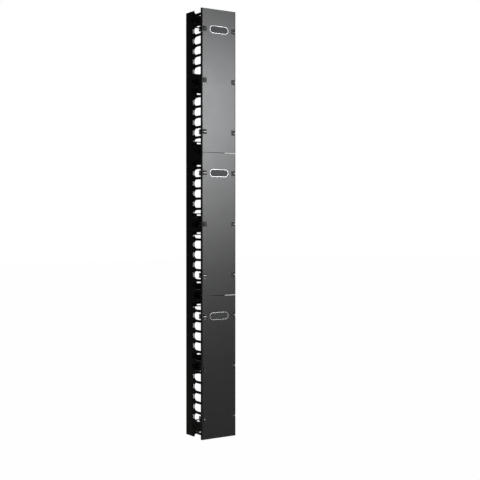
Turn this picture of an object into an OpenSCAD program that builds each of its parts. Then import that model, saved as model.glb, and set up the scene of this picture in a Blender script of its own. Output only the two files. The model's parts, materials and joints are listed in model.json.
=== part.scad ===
// Vertical cable manager for an open rack, in three stacked sections.
// Each section is a folded steel channel with a strip of moulded fingers on each side
// and a cover that turns on steel pins, held in six snap clips.
// X runs across the width, Y from front to back and Z up. The origin is the middle of
// the row of mounting holes, on the outer face of the right web.

/* [Section] */
// Pitch of the rack and of the fingers, which is one rack unit
rack_pitch = 44.45; // [40:0.05:50]
// Rack units in one section
units = 14; // [14:1:20]
// Depth from the cover's front face to the channel's back face
depth = 152; // [135:1:220]

/* [Channel] */
// Width over the side webs
channel_w = 160; // [130:1:240]
// Depth of the side webs
web_d = 55; // [50:1:80]
// Thickness of the steel sheet
sheet_t = 1.6; // [1.2:0.1:2.5]
// Outer radius of the two bends
bend_r = 6; // [3:0.5:10]
// Height of the bar between the two windows of a section
mid_bar_h = 97; // [80:1:140]
// Height of the bar between a window and the end of a section
end_bar_h = 58; // [40:1:90]
// Width of the back plate on each side of a window
window_side = 25; // [20:1:40]
// Corner radius of the windows
window_r = 6; // [2:1:15]
// Length of the tie slots
tie_slot_l = 46; // [20:1:60]
// Height of the tie slots
tie_slot_h = 6.3; // [4:0.1:8]
// Distance from a window's edge to the middle of the nearest tie slot
tie_slot_in = 8; // [7:0.5:14]
// Height of the notches in the rear corners
notch_h = 9; // [5:0.5:14]
// Width of those notches on the back plate
notch_w = 14; // [11:0.5:18]
// Depth of those notches in the webs
notch_d = 3; // [2:0.5:5]

/* [Mounting holes] */
// Diameter of the mounting holes
bolt_hole_d = 7; // [6.5:0.1:9]
// Distance of the mounting holes behind the front edge of the web
bolt_in = 24; // [22:0.5:28]
// Height of a section's lower mounting hole, in rack units
bolt_low_units = 5.25; // [3:0.25:6]
// Distance between the two mounting holes of a section, in rack units
bolt_span_units = 7; // [4:1:8]

/* [Finger strips] */
// Thickness of the moulded strip
strip_t = 3.5; // [2.5:0.1:5]
// Height of a finger
finger_h = 10.8; // [8:0.2:14]
// Height that a finger gains on each side at its root
flare_h = 12; // [6:0.5:14]
// Depth over which a finger widens at its root
flare_d = 20; // [14:1:30]
// Height of a finger's head
head_h = 24.4; // [18:0.2:30]
// Depth of a finger's head
head_d = 4; // [3:0.5:6]
// Depth of the bar that joins two heads behind a clip
bar_d = 6; // [5:0.5:9]
// Depth of the rail that carries the fingers
rail_d = 17; // [14:1:30]
// Depth of the slots in the rail
rail_slot_d = 10; // [6:0.5:10]
// Height of the slots in the rail
rail_slot_h = 20; // [10:1:30]
// Thickness of the rib on the inner side of a finger
rib_t = 2; // [1.4:0.1:3]
// Height of that rib above the strip at its root
rib_root_h = 3; // [2:0.1:5]
// Height of that rib above the strip at its tip
rib_tip_h = 1; // [0.5:0.1:2]
// Depth of the flange that lies inside the web
flange_d = 15; // [12:0.5:16]
// Gap between a strip and the end of its section
strip_end_gap = 0.5; // [0.3:0.1:2]

/* [Strip fasteners] */
// Diameter of the studs
stud_d = 4; // [3:0.5:5]
// Diameter of a stud's flush head
stud_head_d = 7; // [6:0.1:8]
// Thickness of a stud's flush head
stud_head_t = 0.9; // [0.6:0.1:1]
// Width of the nuts across their flats
nut_af = 7; // [6:0.5:8]
// Height of the nuts
nut_h = 3.2; // [2.4:0.1:4]
// Length of a stud that shows past its nut
stud_end = 1.5; // [0.5:0.1:3]

/* [Cover] */
// Thickness of the cover
cover_t = 2; // [1.6:0.1:3]
// Distance that the cover reaches past each web
cover_over = 8; // [7:0.5:12]
// Outer radius of the cover's long edges
edge_r = 6; // [4:0.5:8]
// Depth of the flat return behind the rounded edge
return_d = 3; // [1:0.5:6]
// Depth of the lip along the cover's two ends
end_lip_d = 5; // [4:0.5:8]
// Gap between two covers
cover_gap = 2; // [1:0.5:5]

/* [Hinge clips] */
// Diameter of the hinge pins
pin_d = 4; // [3:0.5:5]
// Distance from the cover's inner face to the pin's axis
pin_in = 4; // [3.5:0.5:6]
// Wall around the pin in the cover's lugs and in the clip's jaws
pin_wall = 2.6; // [1.6:0.1:3]
// Height of the lugs above and below a clip
lug_h = 6; // [4:0.5:10]
// Width of a clip's pads, from the cover's long edge inwards
clip_w = 24; // [20:0.5:30]
// Height of a clip
clip_h = 21; // [16:0.5:24]
// Gap between a clip's upper and lower jaw
jaw_split = 2; // [1:0.5:4]
// Thickness of a clip's pads
pad_t = 2.2; // [1.6:0.1:3]
// Thickness of the cheeks that straddle the bar
cheek_t = 2.4; // [1.6:0.1:3]
// Depth of the clip's side loop behind the bar
loop_d = 9; // [6:0.5:14]

/* [Clearances] */
// Radial clearance of a hinge pin in its jaws
pin_clear = 0.08; // [0.02:0.01:0.1]
// Clearance between a clip and the bar that it is snapped on
bar_clear = 0.2; // [0.1:0.05:0.4]
// Clearance above and below a clip in the cover's notch
notch_clear = 0.5; // [0.3:0.1:1]
// Clearance between a clip and the side of the notch
notch_side_clear = 0.9; // [0.8:0.1:1.5]
// Distance that the pads lie behind the cover's front face
pad_recess = 0.4; // [0.2:0.1:1]
// Clearance between the swinging edge of the cover and the finger heads
swing_clear = 1.5; // [0.8:0.1:4]
// Gap between the rail's rear edge and the web's front edge
seam_gap = 0.3; // [0.1:0.1:1]
// Radial clearance of a stud in the strip's flange
stud_clear = 0.25; // [0.1:0.05:0.5]

/* [Hidden] */
$fn = 48;
over = 1;
section_h = units * rack_pitch;
half_w = channel_w / 2;

// Heights within a section
clip_z = [2, round(units / 2), units - 2] * rack_pitch;
stud_z = [for (k = [1, 5, units - 6, units - 2]) (k + 0.5) * rack_pitch];
bolt_z = [bolt_low_units, bolt_low_units + bolt_span_units] * rack_pitch;

// Depths behind the cover's front face
web_y = depth - web_d;
rail_y = web_y - rail_d;
bolt_y = web_y + bolt_in;
stud_y = web_y + flange_d / 2;
hinge_y = cover_t + pin_in;
return_y = edge_r + return_d;

// The cover's edge turns about the pin, in front of the finger heads
cover_x = half_w + cover_over;
hinge_x = half_w - strip_t / 2;
edge_reach = norm([cover_x - edge_r - hinge_x, edge_r - hinge_y]) + edge_r;
return_reach = norm([cover_x - hinge_x, return_y - hinge_y]);
tip_y = hinge_y + max(edge_reach, return_reach) + swing_clear;
bar_y = tip_y + bar_d;

// Windows and slots in the back plate
window_w = channel_w - 2 * window_side;
window_h = (section_h - mid_bar_h - 2 * end_bar_h) / 2;
window_z = [end_bar_h + window_h / 2, section_h - end_bar_h - window_h / 2];
tie_slot_z = [for (z = window_z, s = [-1, 1]) z + s * (window_h / 2 + tie_slot_in)];

// Fingers
opening_h = rack_pitch - finger_h;
flare_r = (flare_h * flare_h + flare_d * flare_d) / (2 * flare_h);
strip_x = half_w - strip_t;
flange_x = half_w - sheet_t - strip_t;
flange_lap = 3;
mouth_lead = 1.5;
latch_w = 2.4;
latch_h = 8;
latch_clear = 0.3;
rail_slot_r = 2;

// Clips
pin_r = pin_d / 2;
seat_r = pin_r + pin_clear;
jaw_r = pin_r + pin_wall;
notch_half_h = clip_h / 2 + notch_clear;
saddle_y = tip_y - bar_clear - cheek_t;
loop_y = bar_y + loop_d;
loop_wall = 3;
neck_inset = 1;
mouth_flare = 1;
cheek_lap = 1;

// Middle of the row of mounting holes
bolt_mid_z = (bolt_z[0] + 2 * section_h + bolt_z[1]) / 2;

steel = "#1f2022";
plastic = "#17181a";
satin = "#2a2b2e";
bright = "#8f9296";

// Puts a section at its height and the part's origin at the mounting holes
module section(level) {
    translate([-half_w, -bolt_y, level * section_h - bolt_mid_z]) children();
}

// Turns a piece of the right side into its mirror image on the left
module on_side(side) {
    if (side < 0) mirror([1, 0, 0]) children();
    else children();
}

// Stands a drawing of depth and height upright, at x and with thickness t
module side_plate(x, t) {
    translate([x, 0, 0]) rotate([90, 0, 90]) linear_extrude(t) children();
}

// Rectangle about its middle, with round corners
module rounded_rect(w, h, r) {
    square([w - 2 * r, h], center = true);
    square([w, h - 2 * r], center = true);
    for (x = [-1, 1], y = [-1, 1])
        translate([x * (w / 2 - r), y * (h / 2 - r)]) circle(r);
}

// Outline of the channel from above, moved inwards by inset and open to the front
module channel_outline(inset, front_y) {
    x = half_w - inset;
    y = depth - inset;
    r = bend_r - inset;
    translate([-x, front_y]) square([2 * x, y - r - front_y]);
    translate([-x + r, front_y]) square([2 * (x - r), y - front_y]);
    for (s = [-1, 1]) translate([s * (x - r), y - r]) circle(r);
}

// Cuts a drawing of width and height through the back plate
module through_back() {
    translate([0, depth + over, 0]) rotate([90, 0, 0]) linear_extrude(bend_r + 2 * over) children();
}

// Round hole through both webs
module through_webs(y, z, d) {
    translate([-half_w - over, y, z]) rotate([0, 90, 0]) cylinder(d = d, h = channel_w + 2 * over);
}

module channel() {
    color(steel)
    difference() {
        linear_extrude(section_h) difference() {
            channel_outline(0, web_y);
            channel_outline(sheet_t, web_y - over);
        }
        for (z = window_z) through_back() translate([0, z]) rounded_rect(window_w, window_h, window_r);
        for (z = tie_slot_z)
            through_back() translate([0, z]) rounded_rect(tie_slot_l, tie_slot_h, tie_slot_h / 2 - 0.01);
        for (z = bolt_z) {
            through_webs(bolt_y, z, bolt_hole_d);
            for (s = [-1, 1]) rear_notch(s, z);
        }
        for (z = stud_z) {
            through_webs(stud_y, z, stud_d);
            for (s = [-1, 1]) on_side(s) stud_recess(z);
        }
    }
}

module rear_notch(side, z) {
    on_side(side) translate([half_w - notch_w, depth - notch_d, z - notch_h / 2])
        cube([notch_w + over, notch_d + over, notch_h]);
}

module stud_recess(z) {
    translate([half_w - stud_head_t, stud_y, z]) rotate([0, 90, 0])
        cylinder(d = stud_head_d, h = stud_head_t + over);
}

// Opening between two fingers, with a round flare in each root corner
module finger_opening() {
    difference() {
        translate([tip_y, -opening_h / 2]) square([rail_y - tip_y, opening_h]);
        for (s = [0, 1]) mirror([0, s]) difference() {
            translate([rail_y - flare_d, opening_h / 2 - flare_h]) square([flare_d + over, flare_h + over]);
            translate([rail_y - flare_d, opening_h / 2 - flare_r]) circle(flare_r);
        }
    }
}

// Pair of half heads that narrow the opening at its mouth
module head_pair() {
    gap = rack_pitch - head_h;
    for (s = [0, 1]) mirror([0, s])
        polygon([
            [tip_y, gap / 2 + mouth_lead], [tip_y + head_d, gap / 2],
            [tip_y + head_d, rack_pitch / 2], [tip_y, rack_pitch / 2]
        ]);
}

// Bar between two heads, with the small window that a clip's nub sits in
module clip_bar() {
    difference() {
        translate([tip_y, -rack_pitch / 2]) square([bar_d, rack_pitch]);
        translate([tip_y + (bar_d - latch_w) / 2, -latch_h / 2]) square([latch_w, latch_h]);
    }
}

// Side view of the whole comb
module finger_drawing() {
    difference() {
        translate([tip_y, strip_end_gap])
            square([web_y - seam_gap - tip_y, section_h - 2 * strip_end_gap]);
        for (k = [0:units]) translate([0, k * rack_pitch]) {
            difference() {
                finger_opening();
                if (len(search(k * rack_pitch, clip_z)) > 0) clip_bar();
                else head_pair();
            }
            if (k > 0 && k < units)
                translate([rail_y + rail_d / 2, 0]) rounded_rect(rail_slot_d, rail_slot_h, rail_slot_r);
        }
    }
}

// Tapered rib along the inner side of a finger
module finger_rib() {
    translate([0, 0, -rib_t / 2]) linear_extrude(rib_t) polygon([
        [strip_x + strip_t / 2, tip_y + head_d], [strip_x - rib_tip_h, tip_y + head_d],
        [strip_x - rib_root_h, rail_y], [strip_x - rib_root_h, web_y - flange_lap],
        [strip_x + strip_t / 2, web_y - flange_lap]
    ]);
}

module finger_strip(side) {
    color(plastic) on_side(side) {
        difference() {
            union() {
                side_plate(strip_x, strip_t) finger_drawing();
                for (k = [0:units - 1]) translate([0, 0, (k + 0.5) * rack_pitch]) finger_rib();
                translate([flange_x, web_y - flange_lap, strip_end_gap])
                    cube([strip_t, flange_lap + flange_d, section_h - 2 * strip_end_gap]);
            }
            for (z = stud_z) translate([flange_x - over, stud_y, z]) rotate([0, 90, 0])
                cylinder(r = stud_d / 2 + stud_clear, h = strip_t + 2 * over);
            // Clears the flange from the web's front edge
            translate([half_w - sheet_t, web_y - seam_gap, 0])
                cube([sheet_t + over, flange_d + over, section_h]);
        }
    }
}

// Flush-head stud, pressed in from the outer face of the web
module stud() {
    translate([half_w, stud_y, 0]) rotate([0, -90, 0]) {
        cylinder(d = stud_head_d, h = stud_head_t);
        cylinder(d = stud_d, h = sheet_t + strip_t + nut_h + stud_end);
    }
}

module strip_studs() {
    color(bright)
    for (side = [-1, 1], z = stud_z) on_side(side) translate([0, 0, z]) stud();
}

module nut() {
    translate([flange_x, stud_y, 0]) rotate([0, -90, 0]) difference() {
        cylinder(d = nut_af / cos(30), h = nut_h, $fn = 6);
        translate([0, 0, -over]) cylinder(r = stud_d / 2 + 0.05, h = nut_h + 2 * over);
    }
}

module strip_nuts() {
    color(bright)
    for (side = [-1, 1], z = stud_z) on_side(side) translate([0, 0, z]) nut();
}

// Outline of the cover from above, moved inwards by inset and cut off at back_y
module cover_outline(inset, back_y) {
    x = cover_x - inset;
    r = edge_r - inset;
    intersection() {
        union() {
            translate([-x + r, inset]) square([2 * (x - r), back_y]);
            translate([-x, edge_r]) square([2 * x, back_y]);
            for (s = [-1, 1]) translate([s * (x - r), edge_r]) circle(r);
        }
        translate([-x, inset]) square([2 * x, back_y - inset]);
    }
}

module cover_section() {
    difference() {
        cover_outline(0, return_y);
        cover_outline(cover_t, return_y + over);
    }
}

// Round nose about the pin, joined to the plate in front of it
module pin_nose(front_y) {
    translate([hinge_x, hinge_y]) circle(jaw_r);
    translate([hinge_x - jaw_r, front_y]) square([2 * jaw_r, hinge_y - front_y]);
}

module cover_lugs() {
    for (s = [0, 1]) mirror([0, 0, s]) translate([0, 0, notch_half_h])
        linear_extrude(lug_h) pin_nose(cover_t / 2);
}

module cover() {
    lip_h = cover_t;
    color(satin) difference() {
        union() {
            translate([0, 0, cover_gap / 2]) linear_extrude(section_h - cover_gap) cover_section();
            for (z = [cover_gap / 2, section_h - cover_gap / 2 - lip_h])
                translate([0, 0, z]) linear_extrude(lip_h) cover_outline(0, end_lip_d);
            for (side = [-1, 1], z = clip_z) on_side(side) translate([0, 0, z]) cover_lugs();
        }
        for (side = [-1, 1], z = clip_z) on_side(side) translate([0, 0, z]) {
            translate([cover_x - clip_w - notch_side_clear, -over, -notch_half_h])
                cube([clip_w + notch_side_clear + over, return_y + 2 * over, 2 * notch_half_h]);
            translate([hinge_x, hinge_y, 0])
                cylinder(d = pin_d, h = 2 * (notch_half_h + lug_h) + 2 * over, center = true);
        }
    }
}

module cover_pins() {
    color(bright)
    for (side = [-1, 1], z = clip_z) on_side(side) translate([hinge_x, hinge_y, z])
        cylinder(d = pin_d, h = 2 * (notch_half_h + lug_h), center = true);
}

// Pads that fill the notch in line with the cover, and the jaws behind them
module clip_front_drawing() {
    intersection() {
        difference() {
            cover_outline(pad_recess, return_y);
            cover_outline(pad_recess + pad_t, return_y + over);
        }
        translate([cover_x - clip_w, 0]) square([clip_w, return_y]);
    }
    pin_nose(pad_recess + pad_t / 2);
    translate([hinge_x - jaw_r + neck_inset, hinge_y])
        square([2 * (jaw_r - neck_inset), saddle_y + cheek_t - hinge_y]);
}

// Saddle that straddles the bar, from above
module clip_saddle_drawing() {
    inner_x = strip_x - bar_clear - cheek_t;
    outer_x = half_w + bar_clear;
    translate([inner_x, saddle_y]) square([outer_x + cheek_t - inner_x, cheek_t]);
    translate([inner_x, saddle_y]) square([cheek_t, bar_y + cheek_lap - saddle_y]);
    translate([outer_x, saddle_y]) square([cheek_t, loop_y - saddle_y]);
}

// Seat of the pin and the mouth that leads it in from the front
module pin_mouth() {
    lead = hinge_y - pad_recess;
    translate([hinge_x, hinge_y]) {
        circle(seat_r);
        polygon([
            [-seat_r, 0], [-seat_r, -pin_r], [-seat_r - mouth_flare, -lead - over],
            [seat_r + mouth_flare, -lead - over], [seat_r, -pin_r], [seat_r, 0]
        ]);
    }
}

module clip(side, z) {
    color(satin) on_side(side) translate([0, 0, z]) {
        difference() {
            translate([0, 0, -clip_h / 2]) linear_extrude(clip_h) difference() {
                union() {
                    clip_front_drawing();
                    clip_saddle_drawing();
                }
                pin_mouth();
            }
            // Splits the front into an upper and a lower jaw
            translate([cover_x - clip_w - over, -over, -jaw_split / 2])
                cube([clip_w + 2 * over, hinge_y + jaw_r + over, jaw_split]);
            // Window of the side loop
            translate([half_w, bar_y + cheek_lap, -clip_h / 4])
                cube([cheek_t + 2 * over, loop_d - cheek_lap - loop_wall, clip_h / 2]);
        }
        // Nub that sits in the bar's window
        nub = [over + bar_clear + strip_t / 2, latch_w - 2 * latch_clear, latch_h - 2 * latch_clear];
        translate([strip_x - bar_clear - over, tip_y + (bar_d - nub[1]) / 2, -nub[2] / 2]) cube(nub);
    }
}

section(0) channel();  // lower_channel
section(0) finger_strip(-1);  // lower_left_fingers
section(0) finger_strip(1);  // lower_right_fingers
section(0) strip_studs();  // lower_strip_studs
section(0) strip_nuts();  // lower_strip_nuts
section(0) cover();  // lower_cover
section(0) cover_pins();  // lower_cover_pins
section(0) clip(-1, clip_z[0]);  // lower_left_clip_bottom
section(0) clip(-1, clip_z[1]);  // lower_left_clip_mid
section(0) clip(-1, clip_z[2]);  // lower_left_clip_top
section(0) clip(1, clip_z[0]);  // lower_right_clip_bottom
section(0) clip(1, clip_z[1]);  // lower_right_clip_mid
section(0) clip(1, clip_z[2]);  // lower_right_clip_top
section(1) channel();  // middle_channel
section(1) finger_strip(-1);  // middle_left_fingers
section(1) finger_strip(1);  // middle_right_fingers
section(1) strip_studs();  // middle_strip_studs
section(1) strip_nuts();  // middle_strip_nuts
section(1) cover();  // middle_cover
section(1) cover_pins();  // middle_cover_pins
section(1) clip(-1, clip_z[0]);  // middle_left_clip_bottom
section(1) clip(-1, clip_z[1]);  // middle_left_clip_mid
section(1) clip(-1, clip_z[2]);  // middle_left_clip_top
section(1) clip(1, clip_z[0]);  // middle_right_clip_bottom
section(1) clip(1, clip_z[1]);  // middle_right_clip_mid
section(1) clip(1, clip_z[2]);  // middle_right_clip_top
section(2) channel();  // upper_channel
section(2) finger_strip(-1);  // upper_left_fingers
section(2) finger_strip(1);  // upper_right_fingers
section(2) strip_studs();  // upper_strip_studs
section(2) strip_nuts();  // upper_strip_nuts
section(2) cover();  // upper_cover
section(2) cover_pins();  // upper_cover_pins
section(2) clip(-1, clip_z[0]);  // upper_left_clip_bottom
section(2) clip(-1, clip_z[1]);  // upper_left_clip_mid
section(2) clip(-1, clip_z[2]);  // upper_left_clip_top
section(2) clip(1, clip_z[0]);  // upper_right_clip_bottom
section(2) clip(1, clip_z[1]);  // upper_right_clip_mid
section(2) clip(1, clip_z[2]);  // upper_right_clip_top
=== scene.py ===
# %% [markdown]
# # A vertical cable manager for an open rack
# This scene dresses a tall cable duct that hangs on the side of a rack. It is almost all
# black, so its look comes from three things: how glossy each black is, how soft the light
# is that the flat covers mirror, and how crisp the small clips and fingers are.
#
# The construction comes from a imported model, which stays as it is. Here each piece gets
# its finish, and the few things that are too thin or too fine for the construction are
# added: the bare name plates, the threads and the ribs that a thumb finds on the clips.

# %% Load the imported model
import json
import math

import bmesh
import bpy
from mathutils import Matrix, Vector


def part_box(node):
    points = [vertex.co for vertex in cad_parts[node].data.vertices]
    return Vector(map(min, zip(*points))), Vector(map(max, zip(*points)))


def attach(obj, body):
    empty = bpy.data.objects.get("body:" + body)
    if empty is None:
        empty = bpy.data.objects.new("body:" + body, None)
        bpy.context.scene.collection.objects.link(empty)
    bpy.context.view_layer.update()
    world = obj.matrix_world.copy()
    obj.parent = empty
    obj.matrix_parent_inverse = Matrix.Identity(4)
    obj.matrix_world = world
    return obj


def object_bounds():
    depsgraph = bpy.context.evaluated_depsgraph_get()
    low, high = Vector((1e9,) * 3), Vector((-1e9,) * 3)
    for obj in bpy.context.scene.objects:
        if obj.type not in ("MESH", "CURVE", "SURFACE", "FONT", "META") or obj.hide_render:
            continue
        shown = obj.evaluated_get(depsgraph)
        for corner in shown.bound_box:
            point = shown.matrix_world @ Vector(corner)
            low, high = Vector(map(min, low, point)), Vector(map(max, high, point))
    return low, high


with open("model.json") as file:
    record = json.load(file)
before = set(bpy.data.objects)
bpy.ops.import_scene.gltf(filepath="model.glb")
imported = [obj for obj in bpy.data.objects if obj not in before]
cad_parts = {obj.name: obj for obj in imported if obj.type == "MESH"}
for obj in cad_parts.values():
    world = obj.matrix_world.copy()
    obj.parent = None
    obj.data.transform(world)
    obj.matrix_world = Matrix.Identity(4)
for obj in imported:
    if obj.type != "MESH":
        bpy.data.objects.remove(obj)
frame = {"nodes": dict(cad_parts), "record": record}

cad_low, cad_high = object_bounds()
LEVELS = ["lower", "middle", "upper"]

# %% [markdown]
# ## Where things are
# Every length is in metres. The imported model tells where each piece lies, so the scene
# asks it for places and keeps no copy of them that could go out of date.

# %% Measure the model
MM = 0.001
middle = (cad_high + cad_low) / 2
cover_front = cad_low.y

# %% [markdown]
# ## Camera
# The camera stands to the left in front of the manager, level with its middle, and
# looks almost straight ahead. A tall object keeps its upright edges parallel when the camera
# hardly tilts, and a small downward shift of the lens does the rest of the framing.

# %% Place the camera
CAMERA_PLACE = Vector((-2.312, -3.6816, -0.0635))
CAMERA_YAW = math.radians(33.327)
CAMERA_PITCH = math.radians(-0.507)
CAMERA_LENS = 72.30
CAMERA_SHIFT = -0.022

camera_data = bpy.data.cameras.new("camera")
camera_data.lens = CAMERA_LENS
camera_data.sensor_width = 36.0
camera_data.shift_y = CAMERA_SHIFT
camera_data.clip_start = 0.05
camera_data.clip_end = 60.0
camera = bpy.data.objects.new("camera", camera_data)
camera.location = CAMERA_PLACE
camera.rotation_euler = (math.pi / 2 + CAMERA_PITCH, 0.0, -CAMERA_YAW)
bpy.context.scene.collection.objects.link(camera)
bpy.context.scene.camera = camera
bpy.context.scene.view_settings.view_transform = "Standard"
print("camera at", [round(v, 3) for v in camera.location])

# %% [markdown]
# ## Shader maths
# A material is a formula: so much dust here, a rougher patch there. Written as nodes it
# is hard to read, so one small class wraps a socket and lets Python's own operators add
# the Math nodes. Everything else goes through a single method that makes any node.

# %% Sockets that can be added and multiplied
class Field:
    """A node's output socket. The operators + - and * make Math nodes."""

    def __init__(self, nodes, socket):
        self.nodes = nodes
        self.socket = socket

    def math(self, operation, *values):
        return self.nodes.node("ShaderNodeMath", {"operation": operation}, dict(enumerate(values)))

    def __add__(self, other):
        return self.math("ADD", self, other)

    def __radd__(self, other):
        return self.math("ADD", other, self)

    def __sub__(self, other):
        return self.math("SUBTRACT", self, other)

    def __rsub__(self, other):
        return self.math("SUBTRACT", other, self)

    def __mul__(self, other):
        return self.math("MULTIPLY", self, other)

    def __rmul__(self, other):
        return self.math("MULTIPLY", other, self)

    def step(self, low, high):
        """0 below low, 1 above high and a soft ramp between."""
        inputs = {"Value": self, "From Min": low, "From Max": high}
        return self.nodes.node("ShaderNodeMapRange", {"interpolation_type": "SMOOTHSTEP"}, inputs)


print("sockets can be added, subtracted and multiplied")

# %% One method for every node
class Nodes:
    """Adds nodes to one tree: a material's, the world's or a modifier's."""

    def __init__(self, tree):
        self.tree = tree

    def node(self, kind, settings=None, inputs=None, output=0):
        """Makes a node, sets it up, connects or sets its inputs and returns an output."""
        made = self.tree.nodes.new(kind)
        for key, value in (settings or {}).items():
            setattr(made, key, value)
        for key, value in (inputs or {}).items():
            self.feed(made.inputs[key], value)
        return Field(self, made.outputs[output])

    def feed(self, socket, value):
        if isinstance(value, Field):
            self.tree.links.new(value.socket, socket)
        else:
            socket.default_value = value

    def given(self, name):
        """One of the inputs that a node group is handed."""
        return self.node("NodeGroupInput", output=name)


print("one method makes every node")

# %% [markdown]
# ## Patterns for finishes
# Every finish here is a Principled BSDF with a few noises behind its colour, its roughness
# and its bump. The patterns read Object coordinates, so they stay put on a piece when it
# swings, and each finish below only says how strong each of them is.

# %% A material and its patterns
class Shader(Nodes):
    """Builds one material around a Principled BSDF."""

    def __init__(self, name):
        self.material = bpy.data.materials.new(name)
        self.material.use_nodes = True
        super().__init__(self.material.node_tree)
        self.principled = self.tree.nodes["Principled BSDF"]

    def finish(self, **values):
        """Sets the Principled BSDF, by names such as Base_Color for Base Color."""
        for key, value in values.items():
            self.feed(self.principled.inputs[key.replace("_", " ")], value)
        return self.material

    def noise(self, scale, detail=2.0, roughness=0.5):
        place = self.node("ShaderNodeTexCoord", output="Object")
        inputs = {"Vector": place, "Scale": scale, "Detail": detail, "Roughness": roughness}
        return self.node("ShaderNodeTexNoise", inputs=inputs)

    def mix(self, factor, first, second):
        """Blends two colours, which a Mix node keeps at its inputs 6 and 7 and output 2."""
        inputs = {"Factor": factor, 6: (*first, 1.0), 7: (*second, 1.0)}
        return self.node("ShaderNodeMix", {"data_type": "RGBA"}, inputs, output=2)

    def bump(self, height, depth, normal=None):
        inputs = {"Height": height, "Distance": depth, "Strength": 1.0}
        if normal is not None:
            inputs["Normal"] = normal
        return self.node("ShaderNodeBump", inputs=inputs)

    def worn_edge(self, radius):
        """1 on sharp outer edges, where a finish is rubbed, and 0 on flat faces."""
        bevel = self.node("ShaderNodeBevel", {"samples": 4}, {"Radius": radius})
        plain = self.node("ShaderNodeNewGeometry", output="Normal")
        both = {0: bevel, 1: plain}
        turned = self.node("ShaderNodeVectorMath", {"operation": "DOT_PRODUCT"}, both, "Value")
        return (1.0 - turned).step(0.02, 0.30)


print("shader helpers ready")

# %% [markdown]
# ## Cover plastic
# The covers are moulded in satin black plastic. A fine grain spreads each reflection, so
# a softbox shows as a wide glow and never as a sharp shape. The grain itself is far below
# what the eye sees from a few steps away, so most of it lives in the roughness. A slow
# waviness, left by the mould and by cooling, is what keeps such a large flat panel from
# looking computed.

# %% Cover material
def cover_plastic():
    shader = Shader("cover_plastic")
    slow = shader.noise(9.0, 2.0)
    grain = shader.noise(1400.0, 3.0, 0.6)
    smudge = shader.noise(26.0, 4.0, 0.62).step(0.50, 0.74)
    color = shader.mix(slow, (0.0062, 0.0064, 0.0067), (0.0088, 0.0089, 0.0091))
    roughness = 0.370 + slow * 0.030 + smudge * 0.020 + grain * 0.015
    waves = shader.bump(slow, 0.25 * MM)
    surface = shader.bump(grain, 0.006 * MM, waves)
    return shader.finish(Base_Color=color, Roughness=roughness, Normal=surface)


cover_material = cover_plastic()
print("made", cover_material.name)

# %% [markdown]
# ## Finger plastic
# The combs are moulded in a tougher black plastic with a dull, slightly grey surface. They
# hardly shine: that keeps the side of the manager dark against the white between the
# fingers. The grain is coarser than on the covers and a little dust settles on it.

# %% Finger material
def finger_plastic():
    shader = Shader("finger_plastic")
    slow = shader.noise(22.0, 3.0)
    grain = shader.noise(1100.0, 3.0, 0.6)
    rubbed = shader.worn_edge(0.6 * MM)
    color = shader.mix(slow, (0.0062, 0.0064, 0.0068), (0.0100, 0.0102, 0.0106))
    roughness = 0.60 + slow * 0.08 - rubbed * 0.12
    surface = shader.bump(grain, 0.010 * MM)
    shader.principled.inputs["Specular IOR Level"].default_value = 0.30
    return shader.finish(Base_Color=color, Roughness=roughness, Normal=surface)


finger_material = finger_plastic()
print("made", finger_material.name)

# %% [markdown]
# ## Clip plastic
# The clips are a springy plastic with an etched, matte surface. A matte face spreads the
# softbox over so wide an angle that little of it reaches the eye, so beside the glowing
# covers the clips read as small dark squares.

# %% Clip material
def clip_plastic():
    shader = Shader("clip_plastic")
    slow = shader.noise(60.0, 2.0)
    grain = shader.noise(1800.0, 2.0, 0.5)
    rubbed = shader.worn_edge(0.5 * MM)
    color = shader.mix(slow, (0.012, 0.0125, 0.0135), (0.018, 0.0185, 0.0195))
    roughness = 0.60 + slow * 0.06 - rubbed * 0.10
    surface = shader.bump(grain, 0.004 * MM)
    return shader.finish(Base_Color=color, Roughness=roughness, Normal=surface)


clip_material = clip_plastic()
print("made", clip_material.name)

# %% [markdown]
# ## Powder-coated steel
# The channel is folded sheet with a baked powder coat. Powder flows into low, rounded
# bumps about a millimetre across, the orange peel that tells it from wet paint. On the
# sharp edges of the windows the coat pulls thin and looks a shade lighter.

# %% Channel material
def powder_coat():
    shader = Shader("powder_coat")
    slow = shader.noise(14.0, 2.0)
    peel = shader.noise(620.0, 1.5, 0.45)
    thin = shader.worn_edge(0.7 * MM)
    color = shader.mix(thin * 0.6 + slow * 0.25, (0.0040, 0.0041, 0.0043), (0.0130, 0.0131, 0.0134))
    roughness = 0.50 + slow * 0.05 - peel * 0.05
    surface = shader.bump(peel, 0.030 * MM)
    shader.principled.inputs["Specular IOR Level"].default_value = 0.35
    return shader.finish(Base_Color=color, Roughness=roughness, Normal=surface)


steel_material = powder_coat()
print("made", steel_material.name)

# %% [markdown]
# ## Black zinc plate
# Pins, studs and nuts are plated steel with a black passivated finish. It is still a
# metal, so it mirrors its surroundings, but it swallows most of the light. Soft clouds
# of duller crystals break the reflection up.

# %% Fastener material
def black_zinc():
    shader = Shader("black_zinc")
    clouds = shader.noise(420.0, 3.0, 0.6)
    drawn = shader.noise(2600.0, 1.0)
    rubbed = shader.worn_edge(0.3 * MM)
    color = shader.mix(clouds * 0.5 + rubbed * 0.5, (0.030, 0.030, 0.032), (0.085, 0.086, 0.090))
    roughness = 0.36 + clouds * 0.16
    surface = shader.bump(drawn, 0.003 * MM)
    return shader.finish(Base_Color=color, Roughness=roughness, Metallic=1.0, Normal=surface)


zinc_material = black_zinc()
print("made", zinc_material.name)

# %% [markdown]
# ## Satin metal
# The raised rim of each name plate is bare aluminium, blasted to a satin and sealed. It
# is the only pale thing on the manager.

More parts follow.
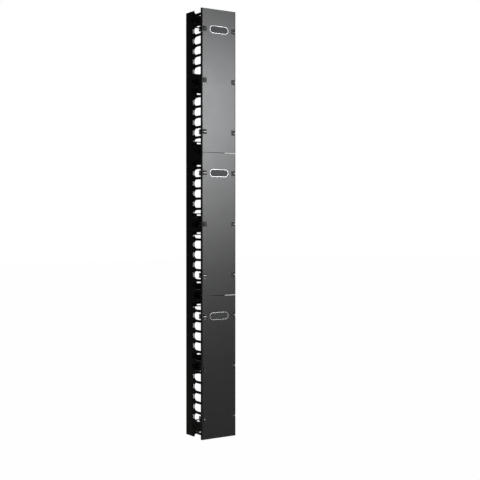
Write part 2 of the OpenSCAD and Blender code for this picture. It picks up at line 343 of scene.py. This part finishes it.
# %% Rim material
def satin_metal():
    shader = Shader("satin_metal")
    slow = shader.noise(90.0, 2.0)
    blasted = shader.noise(2400.0, 2.0, 0.6)
    color = shader.mix(slow, (0.36, 0.36, 0.37), (0.46, 0.46, 0.47))
    roughness = 0.38 + blasted * 0.10
    surface = shader.bump(blasted, 0.004 * MM)
    return shader.finish(Base_Color=color, Roughness=roughness, Metallic=1.0, Normal=surface)


rim_material = satin_metal()
print("made", rim_material.name)

# %% [markdown]
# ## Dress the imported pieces
# Each node of the construction has a material slot named after its finish. One table maps
# the slots to the materials above, and a loop hands them out.

# %% Assign the materials
FINISH = {
    "steel": steel_material,
    "finger_plastic": finger_material,
    "clip_plastic": clip_material,
    "cover_plastic": cover_material,
    "zinc": zinc_material,
}
slot_of = {part["node"]: part["material_slot"] for part in frame["record"]["subparts"]}
for name, piece in frame["nodes"].items():
    piece.data.materials.clear()
    piece.data.materials.append(FINISH[slot_of[name]])
print("dressed", len(slot_of), "nodes with", len(FINISH), "finishes")

# %% [markdown]
# ## Bare name plates
# Each cover carries a small plate between its two top clips. It is left bare: a long
# plate with round ends, a raised metal rim and an empty dark field. Both are built the
# same way, from one outline that is repeated at several insets and heights and joined
# ring by ring, which gives exact soft edges without a bevel.

# %% Rings of one outline
PLATE_LENGTH = 95 * MM
PLATE_HEIGHT = 33 * MM
END_STEPS = 20
print("a plate's outline has", 2 * (END_STEPS + 1), "points")


def plate_ring(inset, height, center):
    """Points of a rectangle with half-round ends, inset from the edge and raised."""
    radius = PLATE_HEIGHT / 2 - inset
    reach = (PLATE_LENGTH - PLATE_HEIGHT) / 2
    points = []
    for side in (1, -1):
        for step in range(END_STEPS + 1):
            angle = math.pi * step / END_STEPS - math.pi / 2
            x = side * (reach + radius * math.cos(angle))
            z = side * radius * math.sin(angle)
            points.append((center.x + x, center.y - height, center.z + z))
    return points


def join_rings(name, rings, closed, material):
    """A mesh through rings of equally many points, closed on itself or capped."""
    count = len(rings[0])
    points = [point for ring in rings for point in ring]
    pairs = [(i, i + 1) for i in range(len(rings) - 1)] + ([(len(rings) - 1, 0)] if closed else [])
    faces = []
    for low, high in pairs:
        for i in range(count):
            j = (i + 1) % count
            faces.append((low * count + i, low * count + j, high * count + j, high * count + i))
    if not closed:
        faces.append(tuple(range(count))[::-1])
        faces.append(tuple(range((len(rings) - 1) * count, len(rings) * count)))
    mesh = bpy.data.meshes.new(name)
    mesh.from_pydata(points, [], faces)
    work = bmesh.new()
    work.from_mesh(mesh)
    bmesh.ops.recalc_face_normals(work, faces=work.faces)
    work.to_mesh(mesh)
    work.free()
    mesh.materials.append(material)
    piece = bpy.data.objects.new(name, mesh)
    bpy.context.scene.collection.objects.link(piece)
    return piece


# %% Rim and field of each plate
# Each pair is an inset from the plate's edge and a height above the cover, in millimetres.
RIM = [
    (0.0, -0.2), (0.0, 0.55), (0.12, 0.74), (0.35, 0.82),
    (2.0, 0.82), (2.25, 0.72), (2.4, 0.50), (2.4, -0.2),
]
FIELD = [(2.3, -0.2), (2.3, 0.36), (2.9, 0.42), (6.0, 0.46)]


def plate(level):
    cover_low, cover_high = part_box(level + "_cover")
    clip_low, clip_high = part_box(level + "_left_clip_top")
    center = Vector(((cover_low.x + cover_high.x) / 2, cover_low.y, (clip_low.z + clip_high.z) / 2))
    pieces = []
    for part, profile, closed, material, slot in (
        ("plate_rim", RIM, True, rim_material, "zinc"),
        ("plate_field", FIELD, False, clip_material, "clip_plastic"),
    ):
        rings = [plate_ring(inset * MM, height * MM, center) for inset, height in profile]
        piece = join_rings(level + "_" + part, rings, closed, material)
        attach(piece, level + "_cover")
        pieces.append(piece)
    return pieces


plates = [piece for level in LEVELS for piece in plate(level)]
print("made", len(plates), "plate pieces")

# %% [markdown]
# ## Things that repeat
# The thumb ribs on the clips and the threads on the studs are each one small shape, many
# times over. Geometry Nodes copy a shape to every point of a mesh, so the script only
# works out the points. The copies are made real at the end, and the result becomes a
# plain mesh, because a finished model keeps no instances.

# %% A tree that copies a shape to points
def copying_tree(name, sizes, build):
    """build(nodes) makes the shape around Z from the named sizes. Its copies lie along X."""
    tree = bpy.data.node_groups.new(name, "GeometryNodeTree")
    kinds = {"Geometry": "Geometry", **dict.fromkeys(sizes, "Float"), "Material": "Material"}
    for socket_name, kind in kinds.items():
        tree.interface.new_socket(socket_name, in_out="INPUT", socket_type="NodeSocket" + kind)
    tree.interface.new_socket("Geometry", in_out="OUTPUT", socket_type="NodeSocketGeometry")
    result = tree.nodes.new("NodeGroupOutput")
    nodes = Nodes(tree)
    along_x = (0.0, math.pi / 2, 0.0)
    inputs = {"Points": nodes.given("Geometry"), "Instance": build(nodes), "Rotation": along_x}
    copies = nodes.node("GeometryNodeInstanceOnPoints", inputs=inputs)
    real = nodes.node("GeometryNodeRealizeInstances", inputs={"Geometry": copies})
    smooth = nodes.node("GeometryNodeSetShadeSmooth", inputs={"Geometry": real})
    inputs = {"Geometry": smooth, "Material": nodes.given("Material")}
    nodes.feed(result.inputs["Geometry"], nodes.node("GeometryNodeSetMaterial", inputs=inputs))
    return tree


def copies_at(name, points, tree, sizes, material, body):
    """Runs the tree on the points and keeps the plain mesh that comes out."""
    mesh = bpy.data.meshes.new(name + "_points")
    mesh.from_pydata(points, [], [])
    piece = bpy.data.objects.new(name, mesh)
    bpy.context.scene.collection.objects.link(piece)
    modifier = piece.modifiers.new("copies", "NODES")
    modifier.node_group = tree
    values = dict(sizes, Material=material)
    for item in tree.interface.items_tree:
        if item.in_out == "INPUT" and item.name in values:
            modifier[item.identifier] = values[item.name]
    graph = bpy.context.evaluated_depsgraph_get()
    plain = bpy.data.meshes.new_from_object(piece.evaluated_get(graph))
    piece.modifiers.clear()
    piece.data = plain
    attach(piece, body)
    print(name, "has", len(points), "copies and", len(plain.polygons), "faces")


print("ready to copy small shapes")

# %% [markdown]
# ## Thumb ribs
# The pads of the clips are squeezed to free a cover, so each has a few low ribs for the
# thumb. They lie on the pad's face, just behind the level of the cover.

# %% Ribs on the clips
RIB_LENGTH = 7.0 * MM
RIB_RADIUS = 0.32 * MM
RIB_INSET = 4.6 * MM
RIB_HEIGHTS = [height * MM for height in (-8.6, -6.4, -4.2, 4.2, 6.4, 8.6)]


def rib_shape(nodes):
    inputs = {"Vertices": 8, "Radius": nodes.given("Radius"), "Depth": nodes.given("Length")}
    return nodes.node("GeometryNodeMeshCylinder", inputs=inputs)


def rib_points():
    """The middle of each rib, on the face of its clip and near the clip's inner edge."""
    points = []
    for level in LEVELS:
        for side in ("left", "right"):
            for place in ("bottom", "mid", "top"):
                low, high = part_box("_".join((level, side, "clip", place)))
                inner = high.x - RIB_INSET if side == "left" else low.x + RIB_INSET
                points += [(inner, low.y, (low.z + high.z) / 2 + height) for height in RIB_HEIGHTS]
    return points


rib_tree = copying_tree("thumb_ribs", ["Length", "Radius"], rib_shape)
rib_sizes = {"Length": RIB_LENGTH, "Radius": RIB_RADIUS}
copies_at("clip_ribs", rib_points(), rib_tree, rib_sizes, clip_material, "frame")

# %% [markdown]
# ## Threads
# The studs end a little way past their nuts, and that end shows its thread. A few fine
# rings around the plain stud read as a thread from any distance, for very few faces.

# %% Thread rings on the studs
RACK_PITCH = 44.45 * MM
STUD_PLACES = (0, 4, 7, 11)  # in rack pitches above the lowest stud of a section
STUD_LENGTH = 9.8 * MM
STUD_RADIUS = 2.0 * MM
STUD_HEAD_RADIUS = 3.5 * MM
THREAD_STEP = 0.7 * MM
THREAD_TURNS = (0.4, 1.4)  # in steps from the stud's end
THREAD_RIDGE = 0.22 * MM


def ring_shape(nodes):
    circle = "GeometryNodeCurvePrimitiveCircle"
    path = nodes.node(circle, inputs={"Resolution": 24, "Radius": nodes.given("Radius")})
    profile = nodes.node(circle, inputs={"Resolution": 6, "Radius": nodes.given("Ridge")})
    return nodes.node("GeometryNodeCurveToMesh", inputs={"Curve": path, "Profile Curve": profile})


def ring_points():
    """The middle of each ring. A section's studs are one node, as wide as the channel."""
    points = []
    for level in LEVELS:
        low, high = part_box(level + "_strip_studs")
        middle_y = (low.y + high.y) / 2
        for pitches in STUD_PLACES:
            z = low.z + STUD_HEAD_RADIUS + pitches * RACK_PITCH
            for turn in THREAD_TURNS:
                inwards = STUD_LENGTH - turn * THREAD_STEP
                points += [(low.x + inwards, middle_y, z), (high.x - inwards, middle_y, z)]
    return points


ring_tree = copying_tree("thread_rings", ["Radius", "Ridge"], ring_shape)
ring_sizes = {"Radius": STUD_RADIUS, "Ridge": THREAD_RIDGE}
copies_at("stud_threads", ring_points(), ring_tree, ring_sizes, zinc_material, "frame")

# %% [markdown]
# ## Floor
# The manager hangs on a rack post a little above the floor. To the camera the floor is
# almost pure white, so that it runs into the surround. To everything else it is a dull
# grey, so that it throws little light up. The price is that the shadow hardly shows.

# %% Floor
FLOOR_DROP = 0.14
FLOOR_SIZE = 40.0
FLOOR_WHITENESS = 0.99
WHITE = (1.0, 1.0, 1.0, 1.0)


def floor_material():
    shader = Shader("floor")
    speckle = shader.noise(3.0, 2.0)
    color = shader.mix(speckle, (0.30, 0.285, 0.26), (0.34, 0.325, 0.30))
    shader.finish(Base_Color=color, Roughness=0.9)
    dull = Field(shader, shader.principled.outputs[0])
    glow = shader.node("ShaderNodeEmission", inputs={"Color": WHITE})
    seen = shader.node("ShaderNodeLightPath", output="Is Camera Ray") * FLOOR_WHITENESS
    blend = shader.node("ShaderNodeMixShader", inputs={0: seen, 1: dull, 2: glow})
    shader.feed(shader.tree.nodes["Material Output"].inputs["Surface"], blend)
    return shader.material


def make_floor():
    height = cad_low.z - FLOOR_DROP
    half = FLOOR_SIZE / 2
    mesh = bpy.data.meshes.new("floor")
    corners = [(-half, -half, height), (half, -half, height), (half, half, height), (-half, half, height)]
    mesh.from_pydata(corners, [], [(0, 1, 2, 3)])
    mesh.materials.append(floor_material())
    floor = bpy.data.objects.new("floor", mesh)
    bpy.context.scene.collection.objects.link(floor)


make_floor()
print("floor at", round(cad_low.z - FLOOR_DROP, 3))

# %% [markdown]
# ## Surround
# The surround is full white where the camera sees it. Glossy black plastic mirrors
# whatever stands around it, so a surround that was white to the plastic too would turn
# every black into grey. For all other rays it is therefore dim.

# %% World
AMBIENT = 0.05


def make_world():
    world = bpy.data.worlds.new("surround")
    world.use_nodes = True
    nodes = Nodes(world.node_tree)
    background = world.node_tree.nodes["Background"]
    seen = nodes.node("ShaderNodeLightPath", output="Is Camera Ray")
    nodes.feed(background.inputs["Color"], WHITE)
    nodes.feed(background.inputs["Strength"], seen * (1.0 - AMBIENT) + AMBIENT)
    bpy.context.scene.world = world


make_world()
print("surround at", AMBIENT)

# %% [markdown]
# ## Lights
# A flat cover is lit by what it mirrors. Two softboxes stand to the right in front, where
# the covers mirror them towards the camera. The upper and much brighter one shows in the
# upper cover and the lower one mostly in the middle cover, while the lowest cover mirrors
# neither and stays dark. The satin grain melts both into one long gradient. Weaker fills from the
# left, the right, behind and above keep the fingers and the channel from going flat.

# %% Softboxes
def softbox(name, place, target, width, height, radiance, tint=(1.0, 1.0, 1.0)):
    """A rectangular light that faces target and looks radiance bright from in front."""
    data = bpy.data.lights.new(name, "AREA")
    data.shape = "RECTANGLE"
    data.size = width
    data.size_y = height
    data.energy = radiance * math.pi * width * height
    data.color = tint
    light = bpy.data.objects.new(name, data)
    light.location = place
    light.rotation_euler = (Vector(target) - Vector(place)).to_track_quat("-Z", "Y").to_euler()
    light.visible_camera = False
    bpy.context.scene.collection.objects.link(light)


def mirrored_place(sideways, height, distance):
    """Where the covers show the camera a point, that far sideways and that high."""
    outwards = Vector((math.sin(CAMERA_YAW), -math.cos(CAMERA_YAW), 0.0))
    across = Vector((math.cos(CAMERA_YAW), math.sin(CAMERA_YAW), 0.0))
    start = Vector((middle.x, cover_front, height))
    return start + outwards * distance + across * sideways


KEY_DISTANCE = 3.0
KEY_TINT = (0.97, 0.985, 1.0)
KEY_LOW_TINT = (0.985, 0.99, 1.0)
key_place = mirrored_place(-0.50, 0.80, KEY_DISTANCE)
low_place = mirrored_place(-0.55, 0.25, KEY_DISTANCE)
waist = (middle.x, middle.y, 0.0)
softbox("key", key_place, (middle.x, cover_front, 0.6), 0.9, 0.42, 62.0, KEY_TINT)
softbox("key_low", low_place, (middle.x, cover_front, 0.2), 0.9, 0.56, 18.0, KEY_LOW_TINT)
softbox("fill_left", (-3.2, -1.2, 0.6), waist, 1.2, 2.0, 0.35)
softbox("fill_back", (0.9, 3.2, 1.3), waist, 1.8, 2.2, 4.5)
softbox("fill_right", (3.0, 1.2, 0.5), waist, 1.2, 2.2, 3.2)
softbox("top", (0.2, -0.6, 3.4), waist, 1.6, 1.6, 2.0)
print("lights:", [light.name for light in bpy.data.lights])
